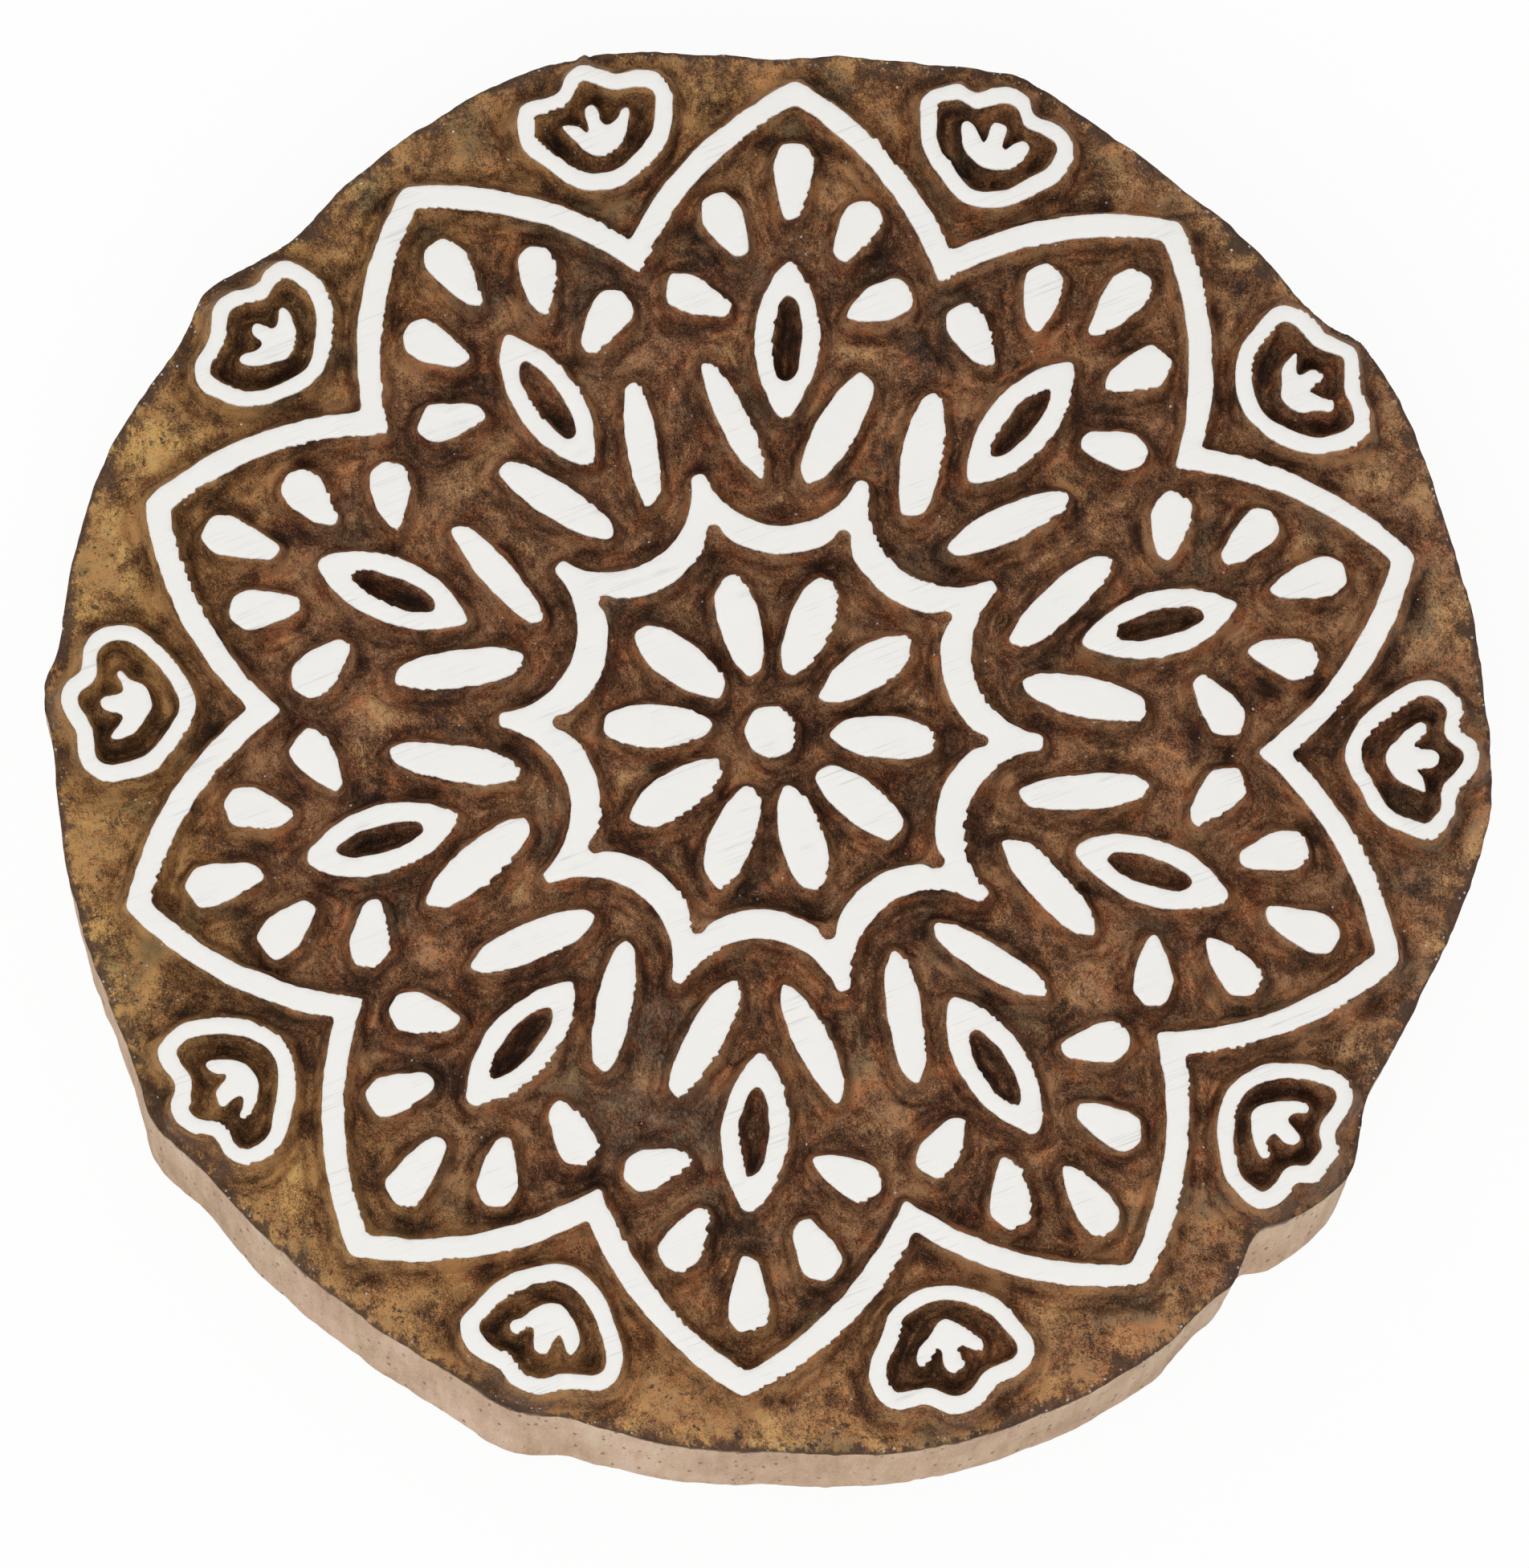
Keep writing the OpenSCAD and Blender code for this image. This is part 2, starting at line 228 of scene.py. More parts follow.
def cut_by_knife(loop, ease, corner, straight):
    """An outline with the slips of the knife, and with torn teeth, worst on the sides to the right."""
    line = eased(resampled(rounded(loop, corner), LINE_STEP), ease)
    if straight:
        line = eased(line + straight * (in_strokes(line) - line), 12)
        line = line + 0.06 * straight * outward(line)
    normal = outward(line)
    x, y = line.T
    torn = 0.12 + ramp(-0.4, 0.8, normal @ np.array([0.97, -0.2])) * ramp(-0.8, 0.1, noise(x, y, 4.3, 7))
    slip = COAT_SPREAD + 0.09 * noise(x, y, 3.7, 1) + 0.06 * noise(x, y, 1.5, 2)
    tool = (0.05 + 0.03 * torn) * noise(x, y, 0.85, 3) + (0.014 + 0.014 * torn) * noise(x, y, 0.33, 4)
    phase = LINE_STEP * np.arange(len(line)) / TOOTH + 1.1 * noise(x, y, 1.5, 5)
    teeth = 0.27 * torn * (phase % 1 - 0.5) * ramp(-0.45, 0.4, noise(x, y, 2.6, 8))
    spur = 0.15 * torn * ramp(0.7, 0.98, noise(x, y, 0.5, 6))
    return eased(line + normal * (slip + tool + teeth + spur)[:, None], 1)


# Height field of the carved face

def inside(loops, xs, ys):
    """Which points of a grid lie inside the loops, by counting the lines crossed along each row."""
    a = np.vstack(loops)
    b = np.vstack([np.roll(loop, -1, 0) for loop in loops])
    low = np.where(a[:, 1] < b[:, 1], a[:, 1], b[:, 1])
    high = np.where(a[:, 1] < b[:, 1], b[:, 1], a[:, 1])
    first = np.ceil((low - ys[0]) / GRID).astype(int)
    last = np.ceil((high - ys[0]) / GRID).astype(int)
    flips = np.zeros((len(ys), len(xs) + 1), int)
    for k in range((last - first).max()):
        row = first + k
        on = row < last
        t = (ys[row[on]] - a[on, 1]) / (b[on, 1] - a[on, 1])
        x = a[on, 0] + t * (b[on, 0] - a[on, 0])
        column = np.clip(np.ceil((x - xs[0]) / GRID).astype(int), 0, len(xs))
        np.add.at(flips, (row[on], column), 1)
    return np.cumsum(flips, axis=1)[:, :-1] % 2 == 1


class Lines:
    """Closed lines that can be asked for the nearest point to each of many points."""

    def __init__(self, loops):
        self.loops = loops
        self.here = np.vstack(loops)
        self.before = np.vstack([np.roll(loop, 1, 0) for loop in loops])
        self.after = np.vstack([np.roll(loop, -1, 0) for loop in loops])
        self.tree = KDTree(len(self.here))
        for k, (x, y) in enumerate(self.here):
            self.tree.insert((x, y, 0), k)
        self.tree.balance()

    def nearest(self, points):
        """Nearest points on the lines, and the distances to them."""
        ids = np.array([self.tree.find((x, y, 0))[1] for x, y in points])
        best = self.here[ids]
        gap = np.linalg.norm(points - best, axis=1)
        for other in (self.before[ids], self.after[ids]):
            along = other - self.here[ids]
            t = ((points - self.here[ids]) * along).sum(1) / ((along * along).sum(1) + 1e-12)
            spot = self.here[ids] + np.clip(t, 0, 1)[:, None] * along
            d = np.linalg.norm(points - spot, axis=1)
            best = np.where((d < gap)[:, None], spot, best)
            gap = np.minimum(gap, d)
        return best, gap


def blurred(mask, reach):
    """A grid of values smoothed over this many millimetres."""
    n = int(3 * reach / GRID)
    weight = np.exp(-0.5 * (np.arange(-n, n + 1) * GRID / reach) ** 2)
    weight /= weight.sum()
    mask = np.apply_along_axis(np.convolve, 0, mask, weight, "same")
    return np.apply_along_axis(np.convolve, 1, mask, weight, "same")


def ground_height(x, y, gap, rim_gap, shoal):
    """Height of the wood relative to the tops of the lands, at a distance from them and from the rim."""
    slope = WALL_SLOPE * (1 - 0.65 * shoal)
    wall = -slope * (1 + 0.25 * noise(x, y, 0.8, 11) + 0.2 * noise(x, y, 2.4, 18)) * gap
    rise = RISE * (1 + 0.45 * noise(x, y, 4.0, 19))
    floor = -GROOVE + rise * ramp(0.9, 2.3, gap + 0.4 * noise(x, y, 1.8, 20))
    floor = floor - RIM_FALL * ramp(7, 0.5, rim_gap)
    floor = floor + 0.2 * noise(x, y, 2.6, 12) + 0.07 * noise(x, y, 1.1, 13) + 0.035 * noise(x, y, 0.5, 14)
    floor = floor - ARRIS * np.exp(-rim_gap / 0.4) * (1 + 0.6 * noise(x, y, 2.0, 15))
    torn = np.exp(-rim_gap / 1.6) * ramp(2.6, 0.8, gap)
    floor = floor + torn * (0.3 * noise(x, y, 0.7, 16) + 0.2 * noise(x, y, 0.35, 17))
    k = WALL_FILLET
    peak = np.maximum(wall, floor)
    return peak + k * np.log(np.exp((wall - peak) / k) + np.exp((floor - peak) / k)) * ramp(0, 0.4, gap)


# Meshes

def new_object(name, points, triangles, materials, attributes, indices=None, uv=None):
    """A smooth mesh object from points in millimetres, triangles and values at the points."""
    mesh = bpy.data.meshes.new(name)
    mesh.from_pydata((points * MM).tolist(), [], triangles.tolist())
    mesh.polygons.foreach_set("use_smooth", np.ones(len(triangles), bool))
    for key, values in attributes.items():
        layer = mesh.attributes.new(key, "FLOAT", "POINT")
        layer.data.foreach_set("value", np.asarray(values, np.float32))
    for material in materials:
        mesh.materials.append(material)
    if indices is not None:
        mesh.polygons.foreach_set("material_index", indices.astype(np.int32))
    if uv is not None:
        mesh.uv_layers.new(name="OFBake").data.foreach_set("uv", uv.astype(np.float32).ravel())
    mesh.update()
    thing = bpy.data.objects.new(name, mesh)
    bpy.context.scene.collection.objects.link(thing)
    return thing


def boundary(triangles):
    """The longest closed line of edges that only one triangle has, as point numbers in order."""
    n = int(triangles.max()) + 1
    edges = np.vstack([triangles[:, [0, 1]], triangles[:, [1, 2]], triangles[:, [2, 0]]])
    code = edges[:, 0] * n + edges[:, 1]
    back = edges[:, 1] * n + edges[:, 0]
    alone = edges[~np.isin(code, back)]
    after = {int(a): int(b) for a, b in alone}
    loops = []
    while after:
        start, here = after.popitem()
        ids = [start]
        while here != start and here in after:
            ids.append(here)
            here = after.pop(here)
        loops.append(ids)
    return max(loops, key=len)


def strip(first, second):
    """Triangles between two closed rows of point numbers, facing out from a line that runs left."""
    a = np.asarray(first)
    b = np.asarray(second)
    c = np.roll(a, -1)
    d = np.roll(b, -1)
    return np.vstack([np.c_[a, b, c], np.c_[c, b, d]])


def disc_map(points, corner, share):
    """Bake coordinates of points seen from above."""
    return np.array(corner) + share * (points + REACH) / (2 * REACH)


def side_map(n, high_drop, low_drop):
    """Bake coordinates of the triangles of one strip of the side, which lies in two rows."""
    j = np.arange(n)
    half = (j >= n / 2).astype(float)
    faces = []
    for steps, drops in (((0, 0, 1), (0, 1, 0)), ((1, 0, 1), (0, 1, 1))):
        across = [0.01 + 0.98 * (2 * (j + step) / n - half) for step in steps]
        along = [(high_drop, low_drop)[drop] / BLOCK_H for drop in drops]
        row = FACE_SHARE + 0.01 + half * (ROW_SHARE + 0.01)
        faces.append(np.stack([np.c_[u, row + ROW_SHARE * (1 - v)] for u, v in zip(across, along)], axis=1))
    return np.concatenate(faces)


def carved_face(lands, pits, shoals, rim, top):
    """The carved face as points, triangles and values: a grid that snaps to the outlines and the rim."""
    xs = np.arange(-62, 62 + GRID / 2, GRID)
    ys = xs
    gx, gy = np.meshgrid(xs, ys)
    spots = np.c_[gx.ravel(), gy.ravel()]
    on_wood = inside([rim.here], xs, ys).ravel()
    rim_spot, rim_gap = rim.nearest(spots)
    rim_side = np.where(rim_gap < GRID / 2, 0, np.where(on_wood, 1, -1))
    use = rim_side >= 0

    on_land = inside(lands.loops, xs, ys)
    # Painted shade: how crowded the lands are within about a millimetre, which darkens the narrow channels
    # between them
    crowd_shade = blurred(on_land.astype(float), 1.3).ravel()
    on_land = on_land.ravel()
    shoal = np.zeros(len(spots))
    for place in shoals:
        shoal = np.maximum(shoal, ramp(1.9, 0.7, np.linalg.norm(spots - place, axis=1)))
    # Painted shade in the enclosed pits of the eyes and buds, and painted light on the shallow ground at
    # the inner cusps
    shade_pool = blurred(inside(pits, xs, ys).astype(float), 0.4).ravel() - shoal
    land_spot = np.zeros_like(spots)
    land_gap = np.full(len(spots), FAR)
    land_spot[use], land_gap[use] = lands.nearest(spots[use])
    land_side = np.where(land_gap < GRID / 2, 0, np.where(on_land, -1, 1))
    flat = np.where((land_side == 0)[:, None], land_spot, spots)
    flat = np.where((rim_side == 0)[:, None], rim_spot, flat)

    x, y = flat.T
    gap = np.where(land_side == 1, land_gap, 0)
    depth = np.where(rim_side == 1, rim_gap, 0)
    z = top + np.where(land_side == 1, ground_height(x, y, gap, depth, shoal), 0)

    n = len(xs)
    ids = np.arange(n * n).reshape(n, n)
    corner = [ids[:-1, :-1].ravel(), ids[:-1, 1:].ravel(), ids[1:, 1:].ravel(), ids[1:, :-1].ravel()]
    ways = [((0, 1, 2), (0, 2, 3)), ((0, 1, 3), (1, 2, 3))]
    faults = []
    for way in ways:
        total = 0
        for tri in way:
            for side in (land_side, rim_side):
                s = np.stack([side[corner[k]] for k in tri])
                total = total + (s.max(0) - s.min(0) == 2)
        faults.append(total)
    pick = faults[1] < faults[0]
    first = [np.where(pick, corner[b], corner[a]) for a, b in zip(ways[0][0], ways[1][0])]
    second = [np.where(pick, corner[b], corner[a]) for a, b in zip(ways[0][1], ways[1][1])]
    triangles = np.vstack([np.stack(first, 1), np.stack(second, 1)])
    sides = rim_side[triangles]
    middle = flat[triangles].mean(1)
    rim_turn = np.arctan2(rim.here[:, 1], rim.here[:, 0])
    order = np.argsort(rim_turn)
    middle_turn = np.arctan2(middle[:, 1], middle[:, 0])
    reach = np.interp(middle_turn, rim_turn[order], np.hypot(*rim.here.T)[order], period=2 * np.pi)
    keep = (sides.min(1) >= 0) & ((sides.max(1) > 0) | (np.hypot(*middle.T) < reach))
    triangles = triangles[keep]
    p, q, r = (flat[triangles[:, k]] for k in range(3))
    area = (q[:, 0] - p[:, 0]) * (r[:, 1] - p[:, 1]) - (q[:, 1] - p[:, 1]) * (r[:, 0] - p[:, 0])
    triangles = triangles[area > 1e-7]
    used, triangles = np.unique(triangles, return_inverse=True)
    bearing = np.degrees(np.arctan2(y, x))
    radius = np.hypot(x, y)
    border = ramp(40, 54, radius)
    to_gold = 0.5 + 0.5 * np.cos(np.radians(bearing - GOLD_BEARING))
    to_pale = 0.65 + 0.35 * np.cos(np.radians(bearing - PALE_BEARING))
    crust = np.zeros(len(spots))
    for place in CRUSTS:
        away = np.hypot(x - place[0], y - place[1])
        crust = np.maximum(crust, ramp(CRUST_REACH, 0.3 * CRUST_REACH, away))
    values = {
        "land_gap": gap, "rim_gap": depth, "crowd_shade": crowd_shade, "shade_pool": shade_pool, "crust": crust, "drop": 0 * x,
        "gold": border * to_gold, "pale": border * to_pale - 0.5 * ramp(20, 16, radius),
    }
    values = {key: value[used] for key, value in values.items()}
    return np.c_[x, y, z][used], triangles.reshape(-1, 3), values


def carved_block(lands, pits, shoals, rim, top, ground, materials):
    """The whole piece of wood: carved face, sawn side and flat back."""
    points, triangles, values = carved_face(lands, pits, shoals, rim, top)
    uv = [disc_map(points[triangles][:, :, :2], (0, 0), FACE_SHARE)]
    loop = boundary(triangles)
    ring = points[loop, :2]
    n = len(ring)
    normal = outward(eased(ring, 12))
    bearing = np.degrees(np.arctan2(ring[:, 1], ring[:, 0])) % 360
    turn = bearing * math.radians(60)
    lean = np.interp(bearing, *np.array(LEAN).T)
    blocks = [points]
    faces = [triangles]
    indices = [np.zeros(len(triangles))]
    count = len(points)
    last = np.asarray(loop)
    drop = 0

    def add_row(row, land_gap, rim_gap, fall):
        """Adds a row of points with its values, and gives their numbers."""
        nonlocal count
        blocks.append(row)
        more = {"land_gap": land_gap, "rim_gap": rim_gap, "drop": fall}
        for key in values:
            values[key] = np.r_[values[key], np.broadcast_to(more.get(key, 0), len(row))]
        count += len(row)
        return np.arange(count - len(row), count)

    brink = ground - ARRIS
    levels = np.r_[brink - np.array([0.5, 1.1, 1.9]), np.linspace(brink - 3, 0.35, 24), 0.1, 0]
    for level in levels:
        height = np.full(n, level)
        saw = 0.08 * noise(turn, height, 7, 21) + 0.02 * noise(turn, height, 1.6, 22)
        tuck = 0.25 * ramp(0.5, 0, height)
        out = saw - tuck + lean * (brink - level) / brink
        ids = add_row(np.c_[ring + normal * out[:, None], height], FAR, 0, brink - level)
        faces.append(strip(last, ids))
        uv.append(side_map(n, drop, brink - level))
        indices.append(np.ones(2 * n))
        last, drop = ids, brink - level

    foot = blocks[-1][:, :2]
    rings = (0.985, 0.93, 0.8, 0.6, 0.35, 0.02)
    for share in rings:
        ids = add_row(np.c_[foot * share, np.zeros(n)], FAR, np.hypot(*foot.T) * (1 - share), BLOCK_H)
        faces.append(strip(last, ids))
        indices.append(np.full(2 * n, 2))
        last = ids
    hub = add_row(np.zeros((1, 3)), FAR, 60, BLOCK_H)
    faces.append(np.c_[last, np.full(n, hub[0]), np.roll(last, -1)])
    indices.append(np.full(n, 2))
    every = np.vstack(blocks)
    back = np.vstack(faces[-len(rings) - 1:])
    mirrored = every[back][:, :, :2] * np.array([-1, 1])
    uv.append(disc_map(mirrored, (FACE_SHARE + 0.01, 0), BACK_SHARE))
    return new_object(
        "carved_block", every, np.vstack(faces), materials, values,
        np.concatenate(indices), np.concatenate(uv),
    )


def enclosed(points, loops):
    """Which points lie inside the loops, by counting crossings to the right of each."""
    a = np.vstack(loops)
    b = np.vstack([np.roll(loop, -1, 0) for loop in loops])
    result = np.zeros(len(points), bool)
    for start in range(0, len(points), 2000):
        x, y = points[start:start + 2000].T
        spans = (a[None, :, 1] > y[:, None]) != (b[None, :, 1] > y[:, None])
        rise = np.where(a[:, 1] == b[:, 1], 1, b[:, 1] - a[:, 1])
        cross = a[:, 0] + (y[:, None] - a[:, 1]) / rise * (b[:, 0] - a[:, 0])
        result[start:start + 2000] = (spans & (cross > x[:, None])).sum(1) % 2 == 1
    return result


def chalk_patch(name, loops, low, high, material):
    """A patch of the coat: a thin plate with a soft edge that lies on the tops of its lands."""
    rows = []
    points = []
    edge = []
    faces = []
    count = 0
    for loop in loops:
        normal = outward(eased(loop, 4))
        levels = ((0, low), (0, high - COAT_ROUND), (COAT_ROUND, high))
        ids = []
        for inset, level in levels:
            points.append(np.c_[loop - inset * normal, np.full(len(loop), level)])
            edge.append(np.full(len(loop), inset))
            ids.append(np.arange(count, count + len(loop)))
            count += len(loop)
        faces += [strip(ids[1], ids[0]), strip(ids[2], ids[1])]
        rows.append(ids[2])
    flat = np.vstack(points)
    rim_ids = np.concatenate(rows)
    rim_points = flat[rim_ids, :2]
    low_corner, high_corner = rim_points.min(0), rim_points.max(0)
    gx, gy = np.meshgrid(*(np.arange(a, b, COAT_GRID) for a, b in zip(low_corner, high_corner)))
    inner = np.c_[gx.ravel(), gy.ravel()]
    tree = KDTree(len(rim_points))
    for k, (x, y) in enumerate(rim_points):
        tree.insert((x, y, 0), k)
    tree.balance()
    outlines_in = [flat[r, :2] for r in rows]
    inner = inner[enclosed(inner, outlines_in)]
    gaps = np.array([tree.find((x, y, 0))[2] for x, y in inner])
    inner = inner[gaps > COAT_CLEAR]
    gaps = gaps[gaps > COAT_CLEAR]
    spots = np.vstack([rim_points, inner])
    start = 0
    lines = []
    for r in rows:
        lines += [(start + k, start + (k + 1) % len(r)) for k in range(len(r))]
        start += len(r)
    made = delaunay_2d_cdt([Vector(p) for p in spots.tolist()], lines, [], 0, 1e-6)
    source = np.array([o[0] if o else -1 for o in made[3]])
    numbers = np.concatenate([rim_ids, np.arange(count, count + len(inner))])
    tris = np.array([f for f in made[2] if len(f) == 3])
    where = np.array([(v[0], v[1]) for v in made[0]])
    tris = tris[enclosed(where[tris].mean(1), outlines_in)]
    tris = tris[(source[tris] >= 0).all(1)]
    faces.append(numbers[source[tris]])
    points.append(np.c_[inner, np.full(len(inner), high)])
    edge.append(gaps)
    return new_object(
        name, np.vstack(points), np.vstack(faces), [material], {"edge": np.concatenate(edge)}
    )


# Materials

class Shader:
    """A node material, with helpers that take numbers or other nodes' outputs as inputs."""

    def __init__(self, name):
        self.material = bpy.data.materials.new(name)
        self.material.use_nodes = True
        self.tree = self.material.node_tree
        self.tree.nodes.clear()
        coordinates = self.node("ShaderNodeTexCoord")
        self.place = self.node("ShaderNodeMapping", {"Vector": coordinates.outputs["Object"]})
        self.place.inputs["Scale"].default_value = (1 / MM, 1 / MM, 1 / MM)
        self.mm = self.place.outputs["Vector"]

    def node(self, kind, inputs=None, **settings):
        made = self.tree.nodes.new(kind)
        for key, value in settings.items():
            setattr(made, key, value)
        for key, value in (inputs or {}).items():
            socket = made.inputs[key]
            if isinstance(value, bpy.types.NodeSocket):
                self.tree.links.new(value, socket)
            else:
                socket.default_value = value
        return made

    def attribute(self, name):
        return self.node("ShaderNodeAttribute", attribute_name=name).outputs["Fac"]

    def math(self, operation, a, b):
        return self.node("ShaderNodeMath", {0: a, 1: b}, operation=operation).outputs[0]

    def add(self, *terms):
        """The sum of values, each times a number."""
        total = 0.0
        for value, weight in terms:
            if isinstance(value, bpy.types.NodeSocket):
                value = self.math("MULTIPLY", value, weight)
            else:
                value = value * weight
            if isinstance(value, float) and isinstance(total, float):
                total = total + value
            else:
                total = self.math("ADD", total, value)
        return total

    def swing(self, noise):
        """Noise moved to swing about zero."""
        return self.math("SUBTRACT", noise, 0.5)

    def span(self, value, low, high, to_low=0.0, to_high=1.0):
        """The value moved from one range to another, with soft ends."""
        return self.node(
            "ShaderNodeMapRange",
            {"Value": value, "From Min": low, "From Max": high, "To Min": to_low, "To Max": to_high},
            interpolation_type="SMOOTHSTEP",
        ).outputs["Result"]

    def noise(self, size, detail=4.0, rough=0.55, stretch=None, turn=0.0, twist=0.0):
        """Noise with bumps of this size in millimetres, drawn out along a turned direction."""
        vector = self.mm
        if stretch:
            turned = self.node("ShaderNodeMapping", {"Vector": vector})
            turned.inputs["Rotation"].default_value = (0, 0, math.radians(turn))
            vector = turned.outputs["Vector"]
            drawn = self.node("ShaderNodeMapping", {"Vector": vector})
            drawn.inputs["Scale"].default_value = stretch
            vector = drawn.outputs["Vector"]
        return self.node(
            "ShaderNodeTexNoise",
            {
                "Vector": vector, "Scale": 1 / size, "Detail": detail, "Roughness": rough,
                "Distortion": twist,
            },
        ).outputs["Fac"]

    def specks(self, size, radius, stretch=(1, 1, 1)):
        """Small specks, one to a cell of this size, of random strength."""
        drawn = self.node("ShaderNodeMapping", {"Vector": self.mm})
        drawn.inputs["Scale"].default_value = stretch
        cell = self.node("ShaderNodeTexVoronoi", {"Vector": drawn.outputs["Vector"], "Scale": 1 / size})
        spot = self.span(cell.outputs["Distance"], radius, radius * 0.5)
        split = self.node("ShaderNodeSeparateColor", {"Color": cell.outputs["Color"]})
        return spot, split.outputs[0]

    def ramp(self, value, stops):
        made = self.node("ShaderNodeValToRGB", {"Fac": value})
        while len(made.color_ramp.elements) < len(stops):
            made.color_ramp.elements.new(0.5)
        for element, (at, color) in zip(made.color_ramp.elements, stops):
            element.position = at
            element.color = (*color, 1)
        return made.outputs["Color"]

    def mix(self, amount, a, b, blend="MIX"):
        made = self.node("ShaderNodeMix", {"Factor": amount}, data_type="RGBA", blend_type=blend)
        for socket, value in ((made.inputs[6], a), (made.inputs[7], b)):
            if isinstance(value, bpy.types.NodeSocket):
                self.tree.links.new(value, socket)
            else:
                socket.default_value = (*value, 1)
        return made.outputs[2]

    def finish(self, color, roughness, height, strength, distance, specular=0.3):
        bump = self.node(
            "ShaderNodeBump", {"Height": height, "Strength": strength, "Distance": distance * MM}
        )
        body = self.node(
            "ShaderNodeBsdfPrincipled",
            {"Base Color": color, "Roughness": roughness, "Normal": bump.outputs["Normal"]},
        )
        body.inputs["Specular IOR Level"].default_value = specular
        self.node("ShaderNodeOutputMaterial", {"Surface": body.outputs["BSDF"]})
        return self.material


